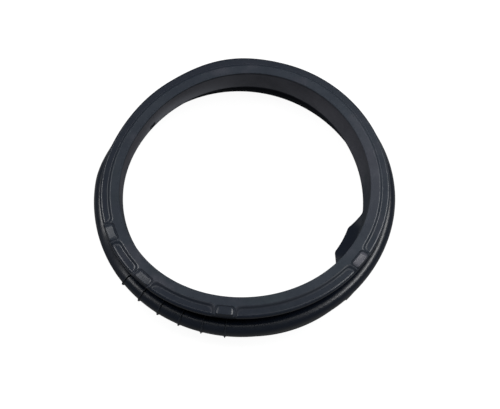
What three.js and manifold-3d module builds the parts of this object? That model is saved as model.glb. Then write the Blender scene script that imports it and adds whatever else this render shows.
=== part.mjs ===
// Door seal of a front-loading washing machine: one soft ring, moulded in black rubber.
// It lies on its tub face with the door side up. Millimetres, +Z up, and the origin is on the
// ring's axis, in the plane of the tub face. Azimuth 0 is +X, and angles are in degrees.

import * as THREE from 'three';
import { mergeVertices } from 'three/addons/utils/BufferGeometryUtils.js';
import Module from 'manifold-3d';

// Heights, from the tub face up
const sealHeight = 66;
const loopHeight = 30;
const beadHeight = 10;

// Front face: a flat band, a step down to a ledge, and a rim that hangs over the valley
const doorRadius = 154.3;
const bandWidth = 13;
const stepDepth = 2.5;
const stepRun = 5.2;
const ledgeWidth = 11.7;
const frontWall = 3.5;
const rimWall = 4.2;
const rimHeight = 5.5;
const edgeFillet = 1.3;
const rimFillet = 3.6;

// Inner lip, which hangs from the front face and closes on the door glass
const lipDepth = 35;
const lipReach = 1.6;
const lipBow = 1.1;
const lipRoot = 3;
const lipTip = 1.8;
const lipGap = 4.9;

// Bellows: a waist below the front face, a valley and a round loop
const bellowsWall = 3;
const valleyWidth = 3.4;
const valleyFillet = 2.5;
const loopRadius = 10.4;

// Tub end: a neck with the clamp's groove, and a bead with a flat face
const neckInset = 4.6;
const neckFillet = 1.5;
const grooveDepth = 3;
const baseWidth = 12;
const beadChamfer = 0.9;

// Four raised pads on the ledge, each in a shallow moat
const padAzimuths = [-156.7, -133.3, -98.1, -37.6];
const padLength = 22.4;
const padWidth = 11.2;
const padProud = 0.8;
const padCorner = 3.6;
const moatWidth = 1.1;
const moatDepth = 1.2;
const plinthWall = 1.4;

// Six ribs over the loop
const ribCount = 6;
const ribPitch = 8.65;
const ribAzimuth = -140.2;
const ribWidth = 1.6;
const ribProud = 2;
const ribStart = 150;
const ribEnd = -60;

// Tongue on the inner lip, a little longer on one side
const tongueAzimuth = -27.4;
const tongueReach = 16;
const tongueSkew = 1.6;
const tongueRootLength = 88;
const tongueTipLength = 42;
const tongueCorner = 5;
const tongueWall = 2.6;
const tongueDroop = 5.5;

// Small slot in the inner lip, and a tab on the tub bead
const slotAzimuth = 141.6;
const slotLength = 8;
const slotHeight = 5;
const slotRise = 1.2;
const tabAzimuth = -44;
const tabLength = 17;
const tabProud = 3;
const tabHeight = 4;

// The soft ring doesn't lie quite round: how far its front edge, rim, lip, loop and bead stray
const frontOval = 2.5;
const frontOvalAzimuth = 39.5;
const frontLobes = 1.85;
const frontLobeAzimuth = 88;
const frontLean = 2;
const rimBulge = 3;
const rimBulgeAzimuth = 98;
const rimBulgeSpan = 26;
const lipOval = 1.8;
const lipOvalAzimuth = 106;
const lipLobes = 2.1;
const lipLobeAzimuth = 74;
const loopOval = 1.3;
const loopOvalAzimuth = 20;
const loopLobes = 0.9;
const loopLobeAzimuth = 6;
const loopDent = 6.8;
const loopDentAzimuth = 152;
const loopDentSpan = 24;
const beadOval = 4.2;
const beadOvalAzimuth = 120;

// Steps around the ring, and how far a joined or cut solid runs into or past the next one
const ringSegments = 80;
const sink = 1;

// Radii and heights worked out from the sizes above
const stepRadius = doorRadius + bandWidth;
const rimRadius = stepRadius + ledgeWidth;
const ledgeHeight = sealHeight - stepDepth;
const ledgeUnderside = ledgeHeight - frontWall;
const rimBottom = ledgeHeight - rimHeight;
const lipBottom = sealHeight - lipDepth;
const lipEdgeRadius = doorRadius - lipReach;
const waistInner = doorRadius + lipRoot + lipGap;
const waistOuter = waistInner + bellowsWall;
const loopCentre = waistOuter + valleyWidth + loopRadius;
const neckOuter = loopCentre - neckInset;
const neckInner = neckOuter - bellowsWall;
const beadRadius = neckOuter + grooveDepth;
const baseInner = beadRadius - baseWidth;

const radians = THREE.MathUtils.degToRad;

/** Points on a round stretch of an outline, from one angle to another in degrees. */
function arc(r, z, radius, from, to, steps) {
  const points = [];
  for (let i = 0; i <= steps; i += 1) {
    const angle = radians(from + (to - from) * i / steps);
    points.push(new THREE.Vector2(r + radius * Math.cos(angle), z + radius * Math.sin(angle)));
  }
  return points;
}

/** Height above the loop's centre at which a fillet touches both the loop and an upright wall. */
function filletRise(fillet, wallToCentre) {
  return Math.sqrt((loopRadius + fillet) ** 2 - (wallToCentre - fillet) ** 2);
}

/** The ring's section, as radius and height, once around its outline. */
function sealSection() {
  const point = (r, z) => new THREE.Vector2(r, z);
  const valleySpan = loopCentre - waistOuter;
  const valleyRise = filletRise(valleyFillet, valleySpan);
  const valleyTouch = THREE.MathUtils.radToDeg(Math.atan2(valleyRise, valleyFillet - valleySpan));
  const neckSpan = loopCentre - neckOuter;
  const neckRise = filletRise(neckFillet, neckSpan);
  const neckTouch = THREE.MathUtils.radToDeg(Math.atan2(-neckRise, neckFillet - neckSpan));
  const valleyRadius = waistOuter + valleyFillet;
  const valleyHeight = loopHeight + valleyRise;
  const neckRadius = neckOuter + neckFillet;
  const neckHeight = loopHeight - neckRise;
  const stepPoint = (share) => point(stepRadius + stepRun * (share - 0.5),
    sealHeight - stepDepth * THREE.MathUtils.smoothstep(share, 0, 1));
  const lipPoint = (step, wall) => {
    const share = step / 3;
    const bow = lipBow * Math.sin(Math.PI * share);
    return point(lipEdgeRadius + lipReach * share + bow + wall, lipBottom + lipDepth * share);
  };
  return [
    // inner lip, up its door side
    point(lipEdgeRadius, lipBottom + lipTip / 2),
    lipPoint(1, 0),
    lipPoint(2, 0),
    // front face: edge, flat band, step, ledge and rim
    ...arc(doorRadius + edgeFillet, sealHeight - edgeFillet, edgeFillet, 180, 90, 2),
    ...[0, 0.3, 0.7, 1].map(stepPoint),
    ...arc(rimRadius - rimFillet, ledgeHeight - rimFillet, rimFillet, 90, 0, 2),
    point(rimRadius, rimBottom),
    point(rimRadius - rimWall, rimBottom),
    point(rimRadius - rimWall, ledgeUnderside),
    point(waistOuter, ledgeUnderside),
    // valley, loop and clamp groove, down the outside
    ...arc(valleyRadius, valleyHeight, valleyFillet, 180, 180 + valleyTouch, 3),
    ...arc(loopCentre, loopHeight, loopRadius, valleyTouch, neckTouch, 10).slice(1),
    ...arc(neckRadius, neckHeight, neckFillet, 180 + neckTouch, 180, 1).slice(1),
    point(neckOuter, beadHeight),
    // tub bead and its flat face
    point(beadRadius - beadChamfer, beadHeight),
    point(beadRadius, beadHeight - beadChamfer),
    point(beadRadius, beadChamfer),
    point(beadRadius - beadChamfer, 0),
    point(baseInner + beadChamfer, 0),
    point(baseInner, beadChamfer),
    point(baseInner, beadHeight - beadChamfer),
    point(neckInner, beadHeight + (neckInner - baseInner) / 2),
    // back up the inside of the bellows
    ...arc(neckRadius, neckHeight, neckFillet + bellowsWall, 180, 180 + neckTouch, 1),
    ...arc(loopCentre, loopHeight, loopRadius - bellowsWall, neckTouch, valleyTouch, 7).slice(1),
    ...arc(valleyRadius, valleyHeight, valleyFillet + bellowsWall, 180 + valleyTouch, 180, 2).slice(1),
    point(waistInner, sealHeight - frontWall),
    point(doorRadius + lipRoot, sealHeight - frontWall),
    // back of the inner lip, down to its thin edge
    lipPoint(2, THREE.MathUtils.lerp(lipTip, lipRoot, 2 / 3)),
    lipPoint(1, THREE.MathUtils.lerp(lipTip, lipRoot, 1 / 3)),
    point(lipEdgeRadius + lipTip, lipBottom + lipTip / 2),
    point(lipEdgeRadius + lipTip / 2, lipBottom),
  ];
}

/** How far the soft ring strays from round, outward, at an angle, radius and height. */
function stray(angle, radius, z) {
  const wave = (count, azimuth) => Math.cos(count * (angle - radians(azimuth)));
  const swell = (azimuth, span) => {
    const turn = Math.acos(THREE.MathUtils.clamp(wave(1, azimuth), -1, 1)) / radians(span);
    return Math.cos(Math.min(turn, 1) * Math.PI / 2) ** 2;
  };
  const lip = lipOval * wave(2, lipOvalAzimuth) + lipLobes * wave(3, lipLobeAzimuth);
  const loop = loopOval * wave(2, loopOvalAzimuth) + loopLobes * wave(3, loopLobeAzimuth)
    - loopDent * swell(loopDentAzimuth, loopDentSpan);
  const bead = beadOval * wave(2, beadOvalAzimuth);
  const onRim = z < rimBottom - sink ? 0 : THREE.MathUtils.clamp((radius - stepRadius) / ledgeWidth, 0, 1);
  const front = frontOval * wave(2, frontOvalAzimuth) + frontLobes * wave(3, frontLobeAzimuth)
    + rimBulge * swell(rimBulgeAzimuth, rimBulgeSpan) * onRim;
  if (z < loopHeight) {
    return THREE.MathUtils.lerp(bead, loop, Math.max(0, z / loopHeight));
  }
  const rise = Math.min(1, (z - loopHeight) / (sealHeight - loopHeight));
  const outer = THREE.MathUtils.lerp(loop, front, rise);
  if (radius > doorRadius + lipRoot + lipGap / 2) {
    return outer;
  }
  return THREE.MathUtils.lerp(outer, lip, THREE.MathUtils.clamp((sealHeight - z) / lipDepth, 0, 1));
}

/** Moves a solid's corners to where they lie on the soft ring. */
function settle(geometry) {
  const position = geometry.getAttribute('position');
  for (let i = 0; i < position.count; i += 1) {
    const angle = Math.atan2(position.getY(i), position.getX(i));
    const radius = Math.hypot(position.getX(i), position.getY(i));
    const z = position.getZ(i);
    const settled = radius + stray(angle, radius, z);
    const lean = frontLean * THREE.MathUtils.clamp((z - loopHeight) / (sealHeight - loopHeight), 0, 1);
    position.setXY(i, settled * Math.cos(angle) + lean, settled * Math.sin(angle));
  }
  return geometry;
}

/** Outline of a rectangle with round corners, with its long sides divided so that they can bend. */
function roundedBar(length, width, corner, divisions) {
  const points = [];
  const halfLength = length / 2 - corner;
  const halfWidth = width / 2 - corner;
  for (const [sideX, sideY, from] of [[1, 1, 90], [1, -1, 0], [-1, -1, -90], [-1, 1, -180]]) {
    points.push(...arc(sideX * halfLength, sideY * halfWidth, corner, from, from - 90, 2));
    if (sideX * sideY < 0) {
      for (let i = 1; i < divisions; i += 1) {
        points.push(new THREE.Vector2(sideX * halfLength * (1 - 2 * i / divisions), sideY * width / 2));
      }
    }
  }
  return new THREE.Shape(points);
}

/** Bends a solid drawn flat, x along the ring and y outward, around the axis at an azimuth. */
function aroundRing(geometry, radius, azimuth) {
  const position = geometry.getAttribute('position');
  for (let i = 0; i < position.count; i += 1) {
    const reach = radius + position.getY(i);
    const angle = radians(azimuth) - position.getX(i) / radius;
    position.setXY(i, reach * Math.cos(angle), reach * Math.sin(angle));
  }
  return geometry;
}

const wasm = await Module();
wasm.setup();

/** Closed solid from a three.js geometry, after the soft ring's own settling. */
function solid(geometry) {
  const bare = geometry.index ? geometry.toNonIndexed() : geometry.clone();
  bare.deleteAttribute('normal');
  bare.deleteAttribute('uv');
  const merged = mergeVertices(settle(bare), 0.001);
  return new wasm.Manifold(new wasm.Mesh({
    numProp: 3,
    vertProperties: new Float32Array(merged.getAttribute('position').array),
    triVerts: new Uint32Array(merged.index.array),
  }));
}

/** The ring itself, turned from its section. */
function ringBody() {
  const section = sealSection().reverse();
  section.push(section[0].clone());
  return solid(new THREE.LatheGeometry(section, ringSegments).rotateX(Math.PI / 2));
}

/** A flat block with round corners, bent around the ring between two heights. */
function barOnRing(length, innerRadius, outerRadius, corner, bottom, top, azimuth) {
  const middle = (innerRadius + outerRadius) / 2;
  const outline = roundedBar(length, outerRadius - innerRadius, corner, 3);
  const bar = new THREE.ExtrudeGeometry(outline, { depth: top - bottom, bevelEnabled: false });
  return solid(aroundRing(bar.translate(0, 0, bottom), middle, azimuth));
}

/** Adds one pad: a plinth level with the flat band, a moat cut in it, and the pad in the moat. */
function addPad(body, azimuth) {
  const outer = stepRadius + padWidth;
  const moatLength = padLength + 2 * moatWidth;
  const plinthLength = moatLength + 2 * plinthWall;
  // the plinth starts behind the step, and the moat runs out past the rim
  const plinth = barOnRing(plinthLength, stepRadius - stepRun / 2 - sink, rimRadius - rimFillet / 2,
    padCorner, ledgeHeight - sink, sealHeight, azimuth);
  const moat = barOnRing(moatLength, stepRadius - moatWidth, outer + padCorner, padCorner,
    sealHeight - moatDepth, sealHeight + sink, azimuth);
  const pad = barOnRing(padLength, stepRadius, outer, padCorner,
    ledgeHeight - 2 * sink, sealHeight + padProud, azimuth);
  return body.add(plinth).subtract(moat).add(pad);
}

/** One rib: a thin crescent on the loop, from the valley over the top and round to the outside. */
function rib(azimuth) {
  const outside = arc(loopCentre, loopHeight, loopRadius + ribProud, ribStart, ribEnd, 7);
  const inside = arc(loopCentre, loopHeight, loopRadius - sink, ribEnd, ribStart, 5);
  const blade = new THREE.ExtrudeGeometry(new THREE.Shape([...outside, ...inside]),
    { depth: ribWidth, bevelEnabled: false });
  blade.translate(0, 0, -ribWidth / 2);
  blade.rotateX(Math.PI / 2);
  return solid(blade.rotateZ(radians(azimuth)));
}

/** The tongue, inward from the lip's edge: straight flanks, round tip corners and a droop. */
function tongue() {
  const depth = tongueReach + lipTip;
  const shape = new THREE.Shape();
  const root = tongueRootLength / 2;
  const tip = tongueTipLength / 2;
  const flank = new THREE.Vector2(root - tip, depth - lipTip).setLength(tongueCorner);
  const rootDivisions = 8;
  shape.moveTo(-root, 0);
  shape.lineTo(-root, -lipTip);
  shape.lineTo(-tip - flank.x, -depth + flank.y);
  shape.quadraticCurveTo(-tip, -depth, -tip + tongueCorner, -depth);
  shape.lineTo(0, -depth);
  shape.lineTo(tip - tongueCorner, -depth);
  shape.quadraticCurveTo(tip, -depth, tip + flank.x, -depth + flank.y);
  shape.lineTo(root, -lipTip);
  for (let i = 0; i < rootDivisions; i += 1) {
    shape.lineTo(root - tongueRootLength * i / rootDivisions, 0);
  }
  const blade = new THREE.ExtrudeGeometry(shape,
    { depth: tongueWall, bevelEnabled: false, curveSegments: 3 });
  const position = blade.getAttribute('position');
  // the top face meets the lip's edge, and slopes down to the tip
  const foot = lipBottom + lipTip - tongueWall;
  for (let i = 0; i < position.count; i += 1) {
    const run = position.getY(i) / depth;
    position.setY(i, position.getY(i) + tongueSkew * run * position.getX(i) / tip);
    position.setZ(i, position.getZ(i) + foot + tongueDroop * run);
  }
  return solid(aroundRing(blade, lipEdgeRadius + lipTip, tongueAzimuth));
}

/** Cutter for the small slot through the inner lip, just above its edge. */
function slotCutter() {
  const reach = lipReach + lipRoot + 2 * sink;
  const block = new THREE.BoxGeometry(slotLength, reach, slotHeight);
  block.translate(0, reach / 2 - sink, lipBottom + slotRise + slotHeight / 2);
  return solid(aroundRing(block, lipEdgeRadius, slotAzimuth));
}

/** Locating tab on the outside of the tub bead. */
function locatingTab() {
  return barOnRing(tabLength, beadRadius - beadChamfer - sink, beadRadius + tabProud,
    tabProud / 2, beadChamfer, beadChamfer + tabHeight, tabAzimuth);
}

/** The whole seal as one body. */
function sealSolid() {
  let body = ringBody();
  for (const azimuth of padAzimuths) {
    body = addPad(body, azimuth);
  }
  for (let i = 0; i < ribCount; i += 1) {
    body = body.add(rib(ribAzimuth + i * ribPitch));
  }
  return body.add(tongue()).subtract(slotCutter()).add(locatingTab());
}

/** three.js geometry from a finished solid. */
function geometryOf(body) {
  const mesh = body.getMesh();
  const geometry = new THREE.BufferGeometry();
  geometry.setAttribute('position', new THREE.BufferAttribute(mesh.vertProperties, 3));
  geometry.setIndex(new THREE.BufferAttribute(mesh.triVerts, 1));
  geometry.computeVertexNormals();
  return geometry;
}

const rubber = new THREE.MeshStandardMaterial({ color: 0x2f3338, roughness: 0.55, metalness: 0 });

const doorSeal = new THREE.Mesh(geometryOf(sealSolid()), rubber);
doorSeal.name = 'door_seal';

const washerDoorSeal = new THREE.Group();
washerDoorSeal.add(doorSeal);

export default washerDoorSeal;
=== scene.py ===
# Door seal of a front-loading washing machine, lying on its tub face with the door side up.
# Sizes are in millimetres, as in the part, and become metres where a mesh is made.
import math
import bmesh
import bpy
import numpy as np
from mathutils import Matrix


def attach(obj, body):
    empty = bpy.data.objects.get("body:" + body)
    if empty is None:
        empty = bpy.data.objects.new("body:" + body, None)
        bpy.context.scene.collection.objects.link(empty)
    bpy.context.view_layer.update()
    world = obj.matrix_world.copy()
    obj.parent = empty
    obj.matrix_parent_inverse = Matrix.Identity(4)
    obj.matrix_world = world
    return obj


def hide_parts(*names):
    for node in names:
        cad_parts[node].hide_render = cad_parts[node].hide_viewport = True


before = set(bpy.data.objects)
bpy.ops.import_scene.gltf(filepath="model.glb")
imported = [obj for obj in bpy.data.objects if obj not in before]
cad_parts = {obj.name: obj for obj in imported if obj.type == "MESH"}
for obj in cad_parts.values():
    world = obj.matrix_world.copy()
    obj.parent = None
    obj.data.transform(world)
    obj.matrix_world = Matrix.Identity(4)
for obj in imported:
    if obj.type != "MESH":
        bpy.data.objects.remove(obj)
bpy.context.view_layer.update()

mm = 0.001


# The photograph's view: a camera upright before the ring, looking down on it at 63.66 degrees.
# It aims at the middle of the front face, which lies off the picture's centre by the shift.
seal_height = 66.0
camera_distance = 1283.7
camera_elevation = math.radians(63.66)
focal_pixels = 1039.4
picture_width = 500
aim = (1.95, 0.0, seal_height)
aim_pixel = (245.48, 180.32)
picture_centre = (250.0, 204.5)
sensor_width = 36

view = bpy.data.cameras.new("photo_view")
view.sensor_width = sensor_width
view.lens = focal_pixels / picture_width * view.sensor_width
view.shift_x = (picture_centre[0] - aim_pixel[0]) / picture_width
view.shift_y = (aim_pixel[1] - picture_centre[1]) / picture_width
camera = bpy.data.objects.new("photo_view", view)
bpy.context.collection.objects.link(camera)
camera.location = (
    aim[0] * mm,
    (aim[1] - camera_distance * math.cos(camera_elevation)) * mm,
    (aim[2] + camera_distance * math.sin(camera_elevation)) * mm,
)
camera.rotation_euler = (math.pi / 2 - camera_elevation, 0, 0)
bpy.context.scene.camera = camera


# The seal: one ring of black rubber, moulded in one piece and turned from one section.
# The section runs up the lip's door side, over the front face, down the bellows outside to the
# tub bead, and back up inside. Each point has a radius, a height and the stretch it belongs to.
loop_height = 30.0
bead_height = 10.0
door_radius = 154.3
band_width = 13.0
step_depth = 2.5
step_run = 5.2
ledge_width = 11.7
front_wall = 3.5
rim_wall = 4.2
rim_height = 5.5
edge_fillet = 1.3
rim_fillet = 3.6
rim_hem = 0.9
lip_depth = 35.0
lip_reach = 1.6
lip_bow = 1.1
lip_root = 3.0
lip_tip = 1.8
lip_gap = 4.9
bellows_wall = 3.0
valley_width = 3.4
valley_fillet = 2.5
loop_radius = 10.4
neck_inset = 4.6
neck_fillet = 1.5
groove_depth = 3.0
base_width = 12.0
bead_round = 0.9

step_radius = door_radius + band_width
rim_radius = step_radius + ledge_width
ledge_height = seal_height - step_depth
ledge_underside = ledge_height - front_wall
ledge_end = rim_radius - rim_fillet
rim_bottom = ledge_height - rim_height
lip_bottom = seal_height - lip_depth
lip_edge_radius = door_radius - lip_reach
waist_inner = door_radius + lip_root + lip_gap
waist_outer = waist_inner + bellows_wall
loop_centre = waist_outer + valley_width + loop_radius
neck_outer = loop_centre - neck_inset
neck_inner = neck_outer - bellows_wall
bead_radius = neck_outer + groove_depth
base_inner = bead_radius - base_width

section = []
least_gap = 0.02


def add(stretch, points):
    """Adds points to the section, leaving out one that lies on the last."""
    for r, z in points:
        if not section or math.hypot(section[-1][0] - r, section[-1][1] - z) > least_gap:
            section.append((r, z, stretch))


def arc(r, z, radius, start, end, steps):
    """Points on an arc round a centre, from one angle in degrees to another."""
    turns = [math.radians(start + (end - start) * i / steps) for i in range(steps + 1)]
    return [(r + radius * math.cos(turn), z + radius * math.sin(turn)) for turn in turns]


def line(start, end, steps):
    """Points on a straight line, its two ends among them."""
    shares = [i / steps for i in range(steps + 1)]
    run, climb = end[0] - start[0], end[1] - start[1]
    return [(start[0] + run * share, start[1] + climb * share) for share in shares]


def lip_point(share, wall):
    """A point of the lip at a share of its depth above its edge, set back by a wall."""
    bow = lip_bow * math.sin(math.pi * share)
    return (lip_edge_radius + lip_reach * share + bow + wall, lip_bottom + lip_depth * share)


def fillet_rise(fillet, wall_to_centre):
    """How far above or below the loop's centre a fillet from the loop to a wall has its own."""
    return math.sqrt((loop_radius + fillet) ** 2 - (wall_to_centre - fillet) ** 2)


valley_span = loop_centre - waist_outer
valley_rise = fillet_rise(valley_fillet, valley_span)
valley_touch = math.degrees(math.atan2(valley_rise, valley_fillet - valley_span))
neck_span = loop_centre - neck_outer
neck_rise = fillet_rise(neck_fillet, neck_span)
neck_touch = math.degrees(math.atan2(-neck_rise, neck_fillet - neck_span))
valley_radius = waist_outer + valley_fillet
valley_height = loop_height + valley_rise
neck_radius = neck_outer + neck_fillet
neck_height = loop_height - neck_rise

tip_steps = 10
shelf_start = 1.3
step_margin = 0.4
slot_height = 3.0
slot_rise = 1.2
slot_start = (slot_rise + lip_tip / 2) / lip_depth
slot_end = slot_start + slot_height / lip_depth
lip_shares = [slot_start, slot_end, 0.3, 0.42, 0.54, 0.66, 0.78, 0.88]
step_reach = step_run / 2 + step_margin
underside = seal_height - front_wall

add("shelf", [lip_point(shelf_start / lip_depth, 0), lip_point(lip_tip / lip_depth, 0)])
add("lip", [lip_point(share, 0) for share in lip_shares])
add("band", arc(door_radius + edge_fillet, seal_height - edge_fillet, edge_fillet, 180, 90, 6))
add("band", line((door_radius + edge_fillet, seal_height), (step_radius - step_reach, seal_height), 5))
add("ledge", line((step_radius - step_reach, seal_height), (step_radius + step_reach, ledge_height), 18))
add("ledge", line((step_radius + step_reach, ledge_height), (ledge_end, ledge_height), 7))
add("rim", arc(ledge_end, ledge_height - rim_fillet, rim_fillet, 90, 0, 14))
add("rim_side", line((rim_radius, ledge_height - rim_fillet), (rim_radius, rim_bottom + rim_hem), 4)[1:])
add("back", arc(rim_radius - rim_hem, rim_bottom + rim_hem, rim_hem, 0, -90, 3))
add("back", arc(rim_radius - rim_wall + rim_hem, rim_bottom + rim_hem, rim_hem, -90, -180, 3))
add("back", line((rim_radius - rim_wall, rim_bottom + rim_hem), (rim_radius - rim_wall, ledge_underside), 2))
add("back", line((rim_radius - rim_wall, ledge_underside), (waist_outer, ledge_underside), 2))
add("back", arc(valley_radius, valley_height, valley_fillet, 180, 180 + valley_touch, 5))
add("loop", arc(loop_centre, loop_height, loop_radius, valley_touch, neck_touch, 34)[1:])
add("back", arc(neck_radius, neck_height, neck_fillet, 180 + neck_touch, 180, 3)[1:])
add("back", line((neck_outer, neck_height), (neck_outer, bead_height), 2)[1:])
add("back", [(bead_radius - bead_round, bead_height)])
add("bead", arc(bead_radius - bead_round, bead_height - bead_round, bead_round, 90, 0, 3)[1:])
add("bead", line((bead_radius, bead_height - bead_round), (bead_radius, bead_round), 8)[1:])
add("base", arc(bead_radius - bead_round, bead_round, bead_round, 0, -90, 3)[1:])
add("base", line((bead_radius - bead_round, 0), (base_inner + bead_round, 0), 2)[1:])
add("base", arc(base_inner + bead_round, bead_round, bead_round, -90, -180, 3)[1:])
add("base", line((base_inner, bead_round), (base_inner, bead_height - bead_round), 2)[1:])
add("base", [(neck_inner, bead_height + (neck_inner - base_inner) / 2)])
add("base", arc(neck_radius, neck_height, neck_fillet + bellows_wall, 180, 180 + neck_touch, 3))
add("base", arc(loop_centre, loop_height, loop_radius - bellows_wall, neck_touch, valley_touch, 12)[1:])
add("base", arc(valley_radius, valley_height, valley_fillet + bellows_wall, 180 + valley_touch, 180, 3)[1:])
add("base", line((waist_inner, valley_height), (waist_inner, underside), 2)[1:])
add("base", line((waist_inner, underside), (door_radius + lip_root, underside), 2)[1:])
lip_back = [lip_point(share, lip_tip + (lip_root - lip_tip) * share) for share in lip_shares]
add("lip_back", reversed(lip_back))
add("tip", arc(lip_edge_radius + lip_tip / 2, lip_bottom + lip_tip / 2, lip_tip / 2, 0, -180, tip_steps))

radius = np.array([point[0] for point in section])
height = np.array([point[1] for point in section])
stretch = np.array([point[2] for point in section])


# The angles at which the section is set round the ring: close together at the ends of the pads,
# at the ribs, the slot and the tab, and about 2.5 mm apart elsewhere.
pad_azimuths = [-156.7, -133.3, -98.1, -37.6]
pad_length = 22.4
pad_width = 11.2
pad_proud = 0.8
pad_crown = 0.3
pad_corner = 3.6
pad_edge = 1.6
pad_slump = 1.0
pad_slump_run = 4.5
moat_width = 1.1
moat_depth = 1.2
plinth_wall = 1.4
rib_azimuths = [-140.2 + 8.65 * i for i in range(6)]
rib_width = 1.6
rib_proud = 2.0
rib_foot = 3.0
rib_start = 150.0
rib_end = -60.0
slot_azimuth = 141.6
slot_length = 8.0
tab_azimuth = -44.0
tab_length = 17.0
tab_proud = 3.0
tab_height = 4.0

slope_margin = 0.6
tab_margin = 1.0
pad_end_step = 0.36
pad_middle_step = 1.8
rib_step = 0.4
slot_step = 1.6
tab_step = 0.5

pad_middle = step_radius + pad_width / 2
pad_straight = pad_length / 2 - pad_corner - pad_edge
plinth_half = pad_length / 2 + moat_width + plinth_wall
slope_end = plinth_half + step_run / 2 + slope_margin
turns = set()


def close_steps(azimuth, ring_radius, start, end, step):
    """Adds angles from start to end millimetres along the ring from an azimuth."""
    count = max(1, round((end - start) / step))
    for i in range(count + 1):
        along = start + (end - start) * i / count
        turns.add(round(azimuth + math.degrees(along / ring_radius), 4))


for azimuth in pad_azimuths:
    close_steps(azimuth, pad_middle, -slope_end, -pad_straight, pad_end_step)
    close_steps(azimuth, pad_middle, -pad_straight, pad_straight, pad_middle_step)
    close_steps(azimuth, pad_middle, pad_straight, slope_end, pad_end_step)
for azimuth in rib_azimuths:
    close_steps(azimuth, loop_centre + loop_radius, -rib_foot, rib_foot, rib_step)
close_steps(slot_azimuth, lip_edge_radius, -slot_length / 2, slot_length / 2, slot_step)
for side in (-1, 1):
    tab_end = side * tab_length / 2
    close_steps(tab_azimuth, bead_radius, tab_end - tab_margin, tab_end + tab_margin, tab_step)

widest_turn = 0.85
narrowest_turn = 0.02
rounding = 1e-6
fine = sorted((turn + 180) % 360 - 180 for turn in turns)
angles = []
for here, after in zip(fine, fine[1:] + [fine[0] + 360]):
    if after - here < narrowest_turn:
        continue
    count = max(1, math.ceil((after - here) / widest_turn - rounding))
    angles += [here + (after - here) * i / count for i in range(count)]
angle = np.radians(np.array(angles))


def along_ring(azimuth, ring_radius):
    """Millimetres along the ring from an azimuth, for each angle."""
    turn = angle - math.radians(azimuth)
    return ((turn + math.pi) % (2 * math.pi) - math.pi) * ring_radius


def ease(x):
    x = np.clip(x, 0, 1)
    return x * x * (3 - 2 * x)


def soft_min(first, second, width):
    mix = np.clip(0.5 + 0.5 * (second - first) / width, 0, 1)
    return second + (first - second) * mix - width * mix * (1 - mix)


# Front face: the flat band steps down to the ledge. At each pad a plinth keeps the band's level,
# with a shallow moat cut in it and the raised, slightly crowned pad in the moat. The pad's two
# ends slump a little.
radii = np.repeat(radius[None, :], len(angle), axis=0)
heights = np.repeat(height[None, :], len(angle), axis=0)
raised = np.isin(stretch, ["band", "ledge", "rim"]) & (radius >= step_radius - step_reach)
plinth_round = 7.5
moat_edge = 0.7

inside_pad = np.zeros_like(heights)
slump = np.zeros_like(heights)
crown = np.zeros_like(heights)
moat = np.zeros_like(heights)
from_step = radii - step_radius
for azimuth in pad_azimuths:
    aside = np.abs(along_ring(azimuth, pad_middle))[:, None]
    from_step = soft_min(from_step, aside - plinth_half, plinth_round)
    over_along = aside - pad_length / 2 + pad_corner + 0 * radii
    over_across = np.abs(radii - pad_middle) - pad_width / 2 + pad_corner
    to_pad = np.hypot(np.maximum(over_along, 0), np.maximum(over_across, 0)) - pad_corner
    to_pad += np.minimum(np.maximum(over_along, over_across), 0)
    this_pad = ease(-to_pad / pad_edge)
    inside_pad = np.maximum(inside_pad, this_pad)
    slump = np.maximum(slump, this_pad * ease((aside - pad_length / 2 + pad_slump_run) / pad_slump_run))
    moat = np.maximum(moat, ease((moat_width - to_pad) / moat_edge + 0.5))
    bulge_along = np.clip(1 - (2 * aside / pad_length) ** 2, 0, 1)
    bulge_across = np.clip(1 - (2 * (radii - pad_middle) / pad_width) ** 2, 0, 1)
    crown = np.maximum(crown, bulge_along * bulge_across)

shoulder = (step_run ** 2 + step_depth ** 2) / (4 * step_depth)
to_end = step_run / 2 - np.minimum(np.abs(from_step), step_run / 2)
turned = shoulder - np.sqrt(shoulder ** 2 - to_end ** 2)
rise = np.where(from_step < 0, 1 - turned / step_depth, turned / step_depth)
ground = np.where(radius < ledge_end, ledge_height, height)[None, :]
top = ground + step_depth * rise
moat_floor = ground - ledge_height + seal_height - moat_depth
top = top + (np.minimum(top, moat_floor) - top) * moat
pad_top = seal_height + pad_proud + pad_crown * crown - pad_slump * slump
top = top + (pad_top - top) * inside_pad
heights[:, raised] = top[:, raised]
rim_side = stretch == "rim_side"
last_rim = np.flatnonzero(stretch == "rim")[-1]
lift = top[:, last_rim] - height[last_rim]
share_up = (height[rim_side] - rim_bottom) / (rim_height - rim_fillet)
heights[:, rim_side] += lift[:, None] * share_up[None, :]


# Six thin ribs stand on the loop, from the valley over the top and round to the outside, where
# each spreads into a low foot.
rib_start_run = 10.0
rib_end_run = 16.0
rib_crest = 0.1 * rib_width
rib_slope = 0.55 * rib_width
foot_start = 70.0
foot_run = 60.0
foot_share = 0.3
lowest_turn = -100.0

loop = stretch == "loop"
loop_turn = np.degrees(np.arctan2(height[loop] - loop_height, radius[loop] - loop_centre))
loop_turn = np.where(loop_turn < lowest_turn, loop_turn + 360, loop_turn)
rib_reach = ease((rib_start - loop_turn) / rib_start_run) * ease((loop_turn - rib_end) / rib_end_run)
foot_reach = ease((foot_start - loop_turn) / foot_run)
blades = np.zeros(len(angle))
for azimuth in rib_azimuths:
    aside = np.abs(along_ring(azimuth, loop_centre + loop_radius))
    blade = 1 - ease((aside - rib_crest) / rib_slope)
    foot = 1 - ease(aside / rib_foot)
    blades = np.maximum(blades, blade)
    ridge = blade[:, None] * (1 - foot_share * foot_reach) + foot_share * foot[:, None] * foot_reach
    radii[:, loop] += rib_proud * ridge * rib_reach * np.cos(np.radians(loop_turn))
    heights[:, loop] += rib_proud * ridge * rib_reach * np.sin(np.radians(loop_turn))


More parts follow.
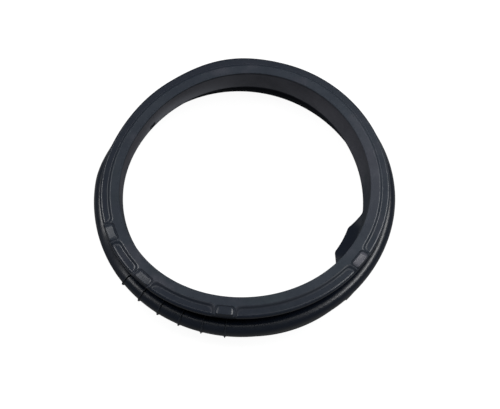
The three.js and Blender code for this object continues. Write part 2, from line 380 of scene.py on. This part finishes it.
# The tongue: the lip's thin edge runs inward as a flap with straight flanks and a slight droop.
# It is moulded with the lip, and is a little thicker than the lip's edge.
tongue_azimuth = -27.4
tongue_reach = 16.0
tongue_skew = 1.6
tongue_root_length = 88.0
tongue_tip_length = 42.0
tongue_wall = 2.6
tongue_droop = 5.5
tongue_round = 0.13
run_out_start = 60.0
run_out_turn = 60.0
shelf_fall = 0.1


def soft_plus(x, width):
    """Positive part of x, with its corner rounded over a width on either side."""
    return np.where(x > width, x, np.where(x < -width, 0, (x + width) ** 2 / (4 * width)))


aside = along_ring(tongue_azimuth, lip_edge_radius)
flank = (tongue_root_length - 2 * np.abs(aside)) / (tongue_root_length - tongue_tip_length)
tongue = soft_plus(flank, tongue_round) - soft_plus(flank - 1, tongue_round)
skewed_reach = (tongue_reach - tongue_skew * aside / (tongue_tip_length / 2))[:, None]
tongue = tongue[:, None]
tip = stretch == "tip"
shelf = stretch == "shelf"
tip_turn = np.linspace(0, 180, tip_steps + 1)[-np.count_nonzero(tip):]
run_out = ease((tip_turn - run_out_start) / run_out_turn)
under = np.sin(np.radians(tip_turn))
radii[:, tip] -= skewed_reach * tongue * run_out
heights[:, tip] -= tongue * (tongue_droop * run_out + (tongue_wall - lip_tip) * under)
shelf_out = np.array([0.96, 0.05])
shelf_lift = np.array([lip_tip - shelf_start - shelf_fall, 0.0])
radii[:, shelf] -= skewed_reach * tongue * shelf_out
heights[:, shelf] += tongue * (shelf_lift - tongue_droop * shelf_out)


# The locating tab gives the seal its place round the tub. It is moulded with the tub bead and
# stands out from its side.
tab_flank = 0.8
bead_side = np.isin(stretch, ["bead", "base"]) & (radius > bead_radius - bead_round + least_gap / 2)
aside = np.abs(along_ring(tab_azimuth, bead_radius))
tab_along = ease(tab_length / 2 - aside + 0.5)
tab_up = ease((height - bead_round / 2) / tab_flank)
tab_up = tab_up * ease((bead_round + tab_height - height) / tab_flank + 0.5) * bead_side
radii += tab_proud * tab_along[:, None] * tab_up


# The soft ring doesn't lie quite round: its front edge, lip, loop and bead each stray by an oval,
# and most of them by lobes, a lean, a bulge or a dent too. The amounts are in millimetres, and the
# azimuths and spans in degrees.
front_oval, front_oval_azimuth = 2.5, 39.5
front_lobes, front_lobe_azimuth = 1.85, 88.0
front_lean = 2.0
rim_margin = 1.0
rim_bulge, rim_bulge_azimuth, rim_bulge_span = 3.0, 98.0, 26.0
lip_oval, lip_oval_azimuth = 1.8, 106.0
lip_lobes, lip_lobe_azimuth = 2.1, 74.0
loop_oval, loop_oval_azimuth = 1.3, 20.0
loop_lobes, loop_lobe_azimuth = 0.9, 6.0
loop_dent, loop_dent_azimuth, loop_dent_span = 6.8, 152.0, 24.0
bead_oval, bead_oval_azimuth = 4.2, 120.0

azimuths = np.repeat(angle[:, None], len(radius), axis=1)


def wave(count, azimuth):
    return np.cos(count * (azimuths - math.radians(azimuth)))


def swell(azimuth, span):
    turn = np.arccos(np.clip(wave(1, azimuth), -1, 1)) / math.radians(span)
    return np.cos(np.minimum(turn, 1) * math.pi / 2) ** 2


on_rim = np.clip((radius - step_radius) / ledge_width, 0, 1) * (height > rim_bottom - rim_margin)
front_stray = front_oval * wave(2, front_oval_azimuth) + front_lobes * wave(3, front_lobe_azimuth)
front_stray += rim_bulge * swell(rim_bulge_azimuth, rim_bulge_span) * on_rim
lip_stray = lip_oval * wave(2, lip_oval_azimuth) + lip_lobes * wave(3, lip_lobe_azimuth)
loop_stray = loop_oval * wave(2, loop_oval_azimuth) + loop_lobes * wave(3, loop_lobe_azimuth)
loop_stray -= loop_dent * swell(loop_dent_azimuth, loop_dent_span)
bead_stray = bead_oval * wave(2, bead_oval_azimuth)
share = np.clip((heights - loop_height) / (seal_height - loop_height), 0, 1)
outer = loop_stray + (front_stray - loop_stray) * share
below = bead_stray + (loop_stray - bead_stray) * np.clip(heights / loop_height, 0, 1)
lip_part = np.clip((seal_height - heights) / lip_depth, 0, 1)
on_lip = np.isin(stretch, ["shelf", "lip", "lip_back", "tip"])
on_lip = on_lip | (radius < door_radius + lip_root + lip_gap / 2)
on_lip = on_lip & (height >= loop_height)
stray = np.where(heights < loop_height, below, outer)
stray = np.where(on_lip[None, :], outer + (lip_stray - outer) * lip_part, stray)
lean = front_lean * share
x = (radii + stray) * np.cos(azimuths) + lean
y = (radii + stray) * np.sin(azimuths)
vertices = np.stack([x, y, heights], axis=-1).reshape(-1, 3) * mm


# The ring's skin, one band of faces from each angle to the next. The small slot through the lip
# has no faces in front and behind: a sill, a head and two ends line it.
around, along = len(angle), len(radius)
half_slot = slot_length / 2 / lip_edge_radius + rounding
from_slot = np.abs(along_ring(slot_azimuth, 1.0))
slot_front = np.flatnonzero(stretch == "lip")[0]
slot_back = np.flatnonzero(stretch == "lip_back")[-1]


def corner(i, j):
    return int((i % around) * along + j % along)


faces = []
for i in range(around):
    in_slot = from_slot[i] < half_slot and from_slot[(i + 1) % around] < half_slot
    for j in range(along):
        if in_slot and j in (slot_front, slot_back - 1):
            continue
        faces.append((corner(i, j), corner(i + 1, j), corner(i + 1, j + 1), corner(i, j + 1)))
    if in_slot:
        sill = (corner(i, slot_front), corner(i + 1, slot_front),
                corner(i + 1, slot_back), corner(i, slot_back))
        head = (sill[0] + 1, sill[1] + 1, sill[2] - 1, sill[3] - 1)
        faces += [sill[::-1], head]
        if from_slot[i - 1] >= half_slot:
            faces.append((sill[0], sill[3], head[3], head[0]))
        if from_slot[(i + 2) % around] >= half_slot:
            faces.append((head[1], head[2], sill[2], sill[1]))

sharp_angle = math.radians(62)
mesh = bpy.data.meshes.new("seal_ring")
mesh.from_pydata(vertices.tolist(), [], faces)
shaped = bmesh.new()
shaped.from_mesh(mesh)
bmesh.ops.recalc_face_normals(shaped, faces=shaped.faces)
shaped.to_mesh(mesh)
shaped.free()
mesh.shade_smooth()
mesh.set_sharp_from_angle(angle=sharp_angle)
seal = bpy.data.objects.new("seal_ring", mesh)
bpy.context.collection.objects.link(seal)
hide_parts("door_seal")
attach(seal, "root")


# The rubber is black. A pale bluish bloom lies on its matt faces, the band and the lip, and the mould
# left the pads, the rim and the loop smoother, so they catch the light. The table gives each stretch
# its polish and its bloom, which then change round the ring. The bloom values also carry painted
# light and painted shade, as said below.
band_bloom = 0.40
# The lip's rounded edge gets no bloom, so it is painted dark: painted shade.
finishes = [
    ("lip", 0.00, 0.60), ("shelf", 0.00, 0.25), ("tip", 0.00, 0.00), ("lip_back", 0.10, 0.05),
    ("band", 0.00, band_bloom), ("ledge", 0.00, 0.08), ("rim", 0.90, 0.03), ("rim_side", 0.00, 0.00),
    ("loop", 0.90, 0.03), ("back", 0.00, 0.05), ("bead", 0.40, 0.20), ("base", 0.20, 0.05),
]
polish = np.zeros_like(heights)
bloom_and_painted_light = np.zeros_like(heights)
for name, smooth, pale in finishes:
    polish[:, stretch == name] = smooth
    bloom_and_painted_light[:, stretch == name] = pale

# The step's slope is smooth, less so at the near side, where it is also painted darker as shade. A place
# round the ring is given by its azimuth and by how far it reaches to either side, in degrees.
slope_inset, slope_fade = 0.2, 0.4
slope_gloss, near_slope_dullness, near_slope = 0.84, 0.64, (-80, 52)
band_share = rise[:, raised]
on_slope = ease((step_run / 2 - slope_inset - np.abs(from_step)) / slope_fade)
slope_polish = on_slope * (slope_gloss - near_slope_dullness * swell(*near_slope))
polish[:, raised] = np.maximum(polish[:, raised] * (1 - band_share), slope_polish[:, raised])
bloom_and_painted_light[:, raised] = bloom_and_painted_light[:, raised] * (1 - band_share) + band_bloom * band_share

# The pads are smooth, with shining edges and ends, but the near one's face is matt. The right one is
# painted palest and then the left one, as painted highlight, and the moats round them are painted
# darker, as painted shade.
pad_reach = 12
left_pad = swell(pad_azimuths[0], pad_reach)
near_pad = swell(pad_azimuths[2], pad_reach)
right_pad = swell(pad_azimuths[3], pad_reach)
pad_gloss, near_pad_dullness, right_pad_gloss = 0.86, 0.86, 0.10
pad_end_gloss, pad_end_growth, pad_edge_gloss = 0.90, 3, 0.85
all_pads_bloom, right_pad_highlight, left_pad_highlight = 0.16, 0.55, 0.24
moat_shade = 0.6
near_step_shade, near_step = 0.85, (-90, 100)
pad_polish = pad_gloss - near_pad_dullness * near_pad + right_pad_gloss * right_pad
pad_polish += (pad_end_gloss - pad_polish) * np.minimum(pad_end_growth * slump, 1)
polish[:, raised] += ((pad_polish - polish) * inside_pad)[:, raised]
pad_edges = 4 * inside_pad * (1 - inside_pad)
polish[:, raised] += ((pad_edge_gloss - polish) * pad_edges)[:, raised]
in_moat = moat * (1 - inside_pad)
pad_bloom_and_highlight = all_pads_bloom + right_pad_highlight * right_pad + left_pad_highlight * left_pad
bloom_and_painted_light[:, raised] += ((pad_bloom_and_highlight - bloom_and_painted_light) * inside_pad - moat_shade * bloom_and_painted_light * in_moat)[:, raised]
# Painted shade: the step's slope is darkened on the near side.
bloom_and_painted_light[:, raised] *= (1 - near_step_shade * on_slope * swell(*near_step))[:, raised]

# The front face is painted darker at the far left and paler on the right of the band and the ledge,
# as painted light. The ledge is also paler on its near left. The lip's wall is painted palest at the far
# side, fading to black at the near side, and paler at its edge at the far left, as painted light.
face_light_swing, face_azimuth = 0.20, 25
right_band_light, right_band = 0.18, (12, 75)
right_ledge_light, right_ledge = 0.34, (0, 110)
left_ledge_paleness, left_ledge = 0.12, (-145, 34)
wall_azimuth = 100
lip_edge_light, far_left_lip = 0.8, (130, 50)
on_face = np.isin(stretch, ["band", "ledge", "rim"])
on_wall = stretch == "lip"
on_band = np.where(stretch == "band", 1, rise) * on_face
off_pads = 1 - inside_pad
bloom_and_painted_light[:, on_face] *= 1 - face_light_swing * np.sin(azimuths - math.radians(face_azimuth))[:, on_face]
bloom_and_painted_light += right_band_light * swell(*right_band) * on_band * off_pads
ledge_paleness = right_ledge_light * swell(*right_ledge) + left_ledge_paleness * swell(*left_ledge)
bloom_and_painted_light[:, raised] += (ledge_paleness * (1 - rise) * off_pads)[:, raised]
# Painted light on the lip's wall, palest at the far side and at its edge at the far left.
bloom_and_painted_light[:, on_wall] *= 1 + wave(1, wall_azimuth)[:, on_wall]
bloom_and_painted_light[:, on_wall] += lip_edge_light * (swell(*far_left_lip) * lip_part ** 3)[:, on_wall]

# The ribs' blades are painted paler, as highlight, and are duller than the loop, which is duller at the
# left. The tongue is smooth and painted black as shade, and the slot and the lip beside it are matt and
# painted black as shade.
blade_highlight, blade_dullness = 0.3, 0.5
loop_dullness, left_loop = 0.7, (-152, 16)
tongue_gloss = 1.05
beside_slot, above_slot = 1.1, 1.3
# Painted highlight on the ribs' blades.
bloom_and_painted_light[:, loop] += blade_highlight * blades[:, None] * rib_reach
polish[:, loop] *= (1 - blade_dullness * blades[:, None]) * (1 - loop_dullness * swell(*left_loop)[:, loop])
# Painted shade: the tongue gets no bloom.
bloom_and_painted_light[:, shelf] *= 1 - tongue
polish[:, shelf] = np.maximum(polish[:, shelf], tongue_gloss * tongue)
# Painted shade: the slot and the lip beside it are black.
slot_shade_area = (from_slot < half_slot * beside_slot)[:, None] & (lip_part > 1 - above_slot * slot_end)
slot_shade_area &= np.isin(stretch, ["lip", "lip_back"])[None, :]
polish[slot_shade_area] = 0
bloom_and_painted_light[slot_shade_area] = 0
for name, values in (("polish", polish), ("bloom_and_painted_light", bloom_and_painted_light)):
    layer = mesh.attributes.new(name, "FLOAT", "POINT")
    layer.data.foreach_set("value", values.reshape(-1).astype(np.float32))


def attribute(tree, name):
    node = tree.nodes.new("ShaderNodeAttribute")
    node.attribute_name = name
    return node.outputs["Fac"]


def math_node(tree, operation, first, second):
    """A Math node, each of whose two inputs is a socket or a number."""
    node = tree.nodes.new("ShaderNodeMath")
    node.operation = operation
    for socket, value in zip(node.inputs, (first, second)):
        if isinstance(value, (int, float)):
            socket.default_value = value
        else:
            tree.links.new(value, socket)
    return node.outputs[0]


def noise(tree, vector, scale, detail, roughness=0.55):
    node = tree.nodes.new("ShaderNodeTexNoise")
    node.inputs["Scale"].default_value = scale
    node.inputs["Detail"].default_value = detail
    node.inputs["Roughness"].default_value = roughness
    tree.links.new(vector, node.inputs["Vector"])
    return node.outputs["Fac"]


def ramp(tree, value, start, end, low=0.0, high=1.0):
    """Maps a value smoothly from start and end to low and high."""
    node = tree.nodes.new("ShaderNodeMapRange")
    node.interpolation_type = "SMOOTHSTEP"
    for name, number in (("From Min", start), ("From Max", end), ("To Min", low), ("To Max", high)):
        node.inputs[name].default_value = number
    tree.links.new(value, node.inputs["Value"])
    return node.outputs["Result"]


def mixed(tree, share, first, second):
    """Mixes two colours, each a socket or a colour."""
    node = tree.nodes.new("ShaderNodeMix")
    node.data_type = "RGBA"
    tree.links.new(share, node.inputs["Factor"])
    for socket, value in ((node.inputs["A"], first), (node.inputs["B"], second)):
        if isinstance(value, tuple):
            socket.default_value = value
        else:
            tree.links.new(value, socket)
    return node.outputs["Result"]


# The rubber's material: deep black under the bloom, which is bluish with greenish and plum patches,
# cloudy and speckled. Where the bloom value is highest, on the lip's wall, it turns to the palest tone,
# a painted sheen. The matt faces have a fine grain, and faint flow marks from the mould vary the gloss.
# The scales are per metre.
deep_black = (0.0050, 0.0080, 0.0155, 1)
pale_bloom = (0.0470, 0.0570, 0.0700, 1)
green_bloom = (0.0380, 0.0520, 0.0560, 1)
plum_bloom = (0.0950, 0.0950, 0.1130, 1)
painted_sheen_tone = (0.1700, 0.1760, 0.2000, 1)
matt_roughness = 0.95
smooth_roughness = 0.22
rubber_specular = 0.4
green_scale, plum_scale, cloud_scale, speck_scale = 16, 23, 34, 900
flow_scale, grain_scale = 150, 1500
patch_share = 0.8
flow_share = 0.5
grain_height = 0.12 * mm
grain_strength = 0.6

rubber = bpy.data.materials.new("black_rubber")
rubber.use_nodes = True
tree = rubber.node_tree
place = tree.nodes.new("ShaderNodeTexCoord").outputs["Object"]
polished = attribute(tree, "polish")
bloom_and_light_value = attribute(tree, "bloom_and_painted_light")
green_share = ramp(tree, noise(tree, place, green_scale, 2), 0.50, 0.72, 0, patch_share)
tone = mixed(tree, green_share, pale_bloom, green_bloom)
plum_share = ramp(tree, noise(tree, place, plum_scale, 2), 0.52, 0.70, 0, patch_share)
tone = mixed(tree, plum_share, tone, plum_bloom)
tone = mixed(tree, ramp(tree, bloom_and_light_value, 0.5, 0.7), tone, plum_bloom)
# Painted sheen: the palest tone where the bloom value is highest.
tone = mixed(tree, ramp(tree, bloom_and_light_value, 0.9, 1.6), tone, painted_sheen_tone)
cloud = ramp(tree, noise(tree, place, cloud_scale, 4), 0.30, 0.70, 0.72, 1.0)
speck = ramp(tree, noise(tree, place, speck_scale, 2), 0.35, 0.75, 0.85, 1.1)
amount = math_node(tree, "MULTIPLY", bloom_and_light_value, math_node(tree, "MULTIPLY", cloud, speck))
skin = tree.nodes["Principled BSDF"]
tree.links.new(mixed(tree, amount, deep_black, tone), skin.inputs["Base Color"])
skin.inputs["Specular IOR Level"].default_value = rubber_specular

flow = noise(tree, place, flow_scale, 3, 0.5)
gloss = math_node(tree, "MULTIPLY", polished, smooth_roughness - matt_roughness)
gloss = math_node(tree, "ADD", gloss, matt_roughness)
gloss = math_node(tree, "ADD", gloss, ramp(tree, flow, 0.3, 0.7, -0.03, 0.04))
tree.links.new(gloss, skin.inputs["Roughness"])
grain = noise(tree, place, grain_scale, 2, 0.7)
grain = math_node(tree, "ADD", grain, math_node(tree, "MULTIPLY", flow, flow_share))
grain = math_node(tree, "MULTIPLY", grain, ramp(tree, polished, 0, 0.8, 1, 0.02))
relief = tree.nodes.new("ShaderNodeBump")
relief.inputs["Distance"].default_value = grain_height
relief.inputs["Strength"].default_value = grain_strength
tree.links.new(grain, relief.inputs["Height"])
tree.links.new(relief.outputs["Normal"], skin.inputs["Normal"])
seal.data.materials.append(rubber)


# Floor and light, in metres: a plain pale floor just under the tub face, and soft studio light.
# Two softboxes stand to the right and the left of the ring, a third hangs high on the far side,
# and a weak one overhead.
half_floor = 6.0
floor_height = -0.0003
floor_grey = (0.14, 0.14, 0.14, 1)
floor_roughness = 0.9
floor_specular = 0.1
floor_glow = 0.94
mirrored_glow = 0.1
white = (1, 1, 1, 1)
quarters = ((-1, -1), (1, -1), (1, 1), (-1, 1))
floor_corners = [(east * half_floor, north * half_floor, floor_height) for east, north in quarters]
floor_mesh = bpy.data.meshes.new("floor")
floor_mesh.from_pydata(floor_corners, [], [(0, 1, 2, 3)])
floor = bpy.data.objects.new("floor", floor_mesh)
bpy.context.collection.objects.link(floor)
pale = bpy.data.materials.new("pale_floor")
pale.use_nodes = True
tree = pale.node_tree
paint = tree.nodes["Principled BSDF"]
paint.inputs["Base Color"].default_value = floor_grey
paint.inputs["Roughness"].default_value = floor_roughness
paint.inputs["Specular IOR Level"].default_value = floor_specular
paint.inputs["Emission Color"].default_value = white
ray = tree.nodes.new("ShaderNodeLightPath")
seen = math_node(tree, "MAXIMUM", ray.outputs["Is Glossy Ray"], ray.outputs["Is Transmission Ray"])
seen = math_node(tree, "MULTIPLY", seen, mirrored_glow)
seen = math_node(tree, "MAXIMUM", ray.outputs["Is Camera Ray"], seen)
tree.links.new(math_node(tree, "MULTIPLY", seen, floor_glow), paint.inputs["Emission Strength"])
floor.data.materials.append(pale)

sky_colour = (0.92, 0.96, 1.0, 1)
sky_light = 0.15
world = bpy.data.worlds.new("studio")
bpy.context.scene.world = world
world.use_nodes = True
sky = world.node_tree.nodes["Background"]
sky.inputs["Color"].default_value = sky_colour
ray = world.node_tree.nodes.new("ShaderNodeLightPath")
seen = math_node(world.node_tree, "MAXIMUM", ray.outputs["Is Camera Ray"], sky_light)
world.node_tree.links.new(seen, sky.inputs["Strength"])


def softbox(name, azimuth, elevation, distance, size, power):
    """A lamp that faces the ring from an azimuth and an elevation in degrees."""
    lamp_data = bpy.data.lights.new(name, "AREA")
    lamp_data.shape = "RECTANGLE"
    lamp_data.size, lamp_data.size_y = size
    lamp_data.energy = power
    lamp = bpy.data.objects.new(name, lamp_data)
    bpy.context.collection.objects.link(lamp)
    turn, tilt = math.radians(azimuth), math.radians(elevation)
    lamp.location = (distance * math.cos(tilt) * math.cos(turn),
                     distance * math.cos(tilt) * math.sin(turn),
                     distance * math.sin(tilt))
    lamp.rotation_euler = (math.pi / 2 - tilt, 0, turn + math.pi / 2)


softbox("right_softbox", 8, 55, 2.4, (1.8, 0.6), 36)
softbox("left_softbox", 156, 55, 2.4, (1.4, 0.5), 27)
softbox("far_softbox", 90, 65, 2.6, (1.5, 0.5), 10)
softbox("top_softbox", 90, 88, 2.6, (1.6, 0.4), 4)

bpy.context.scene.view_settings.view_transform = "Standard"
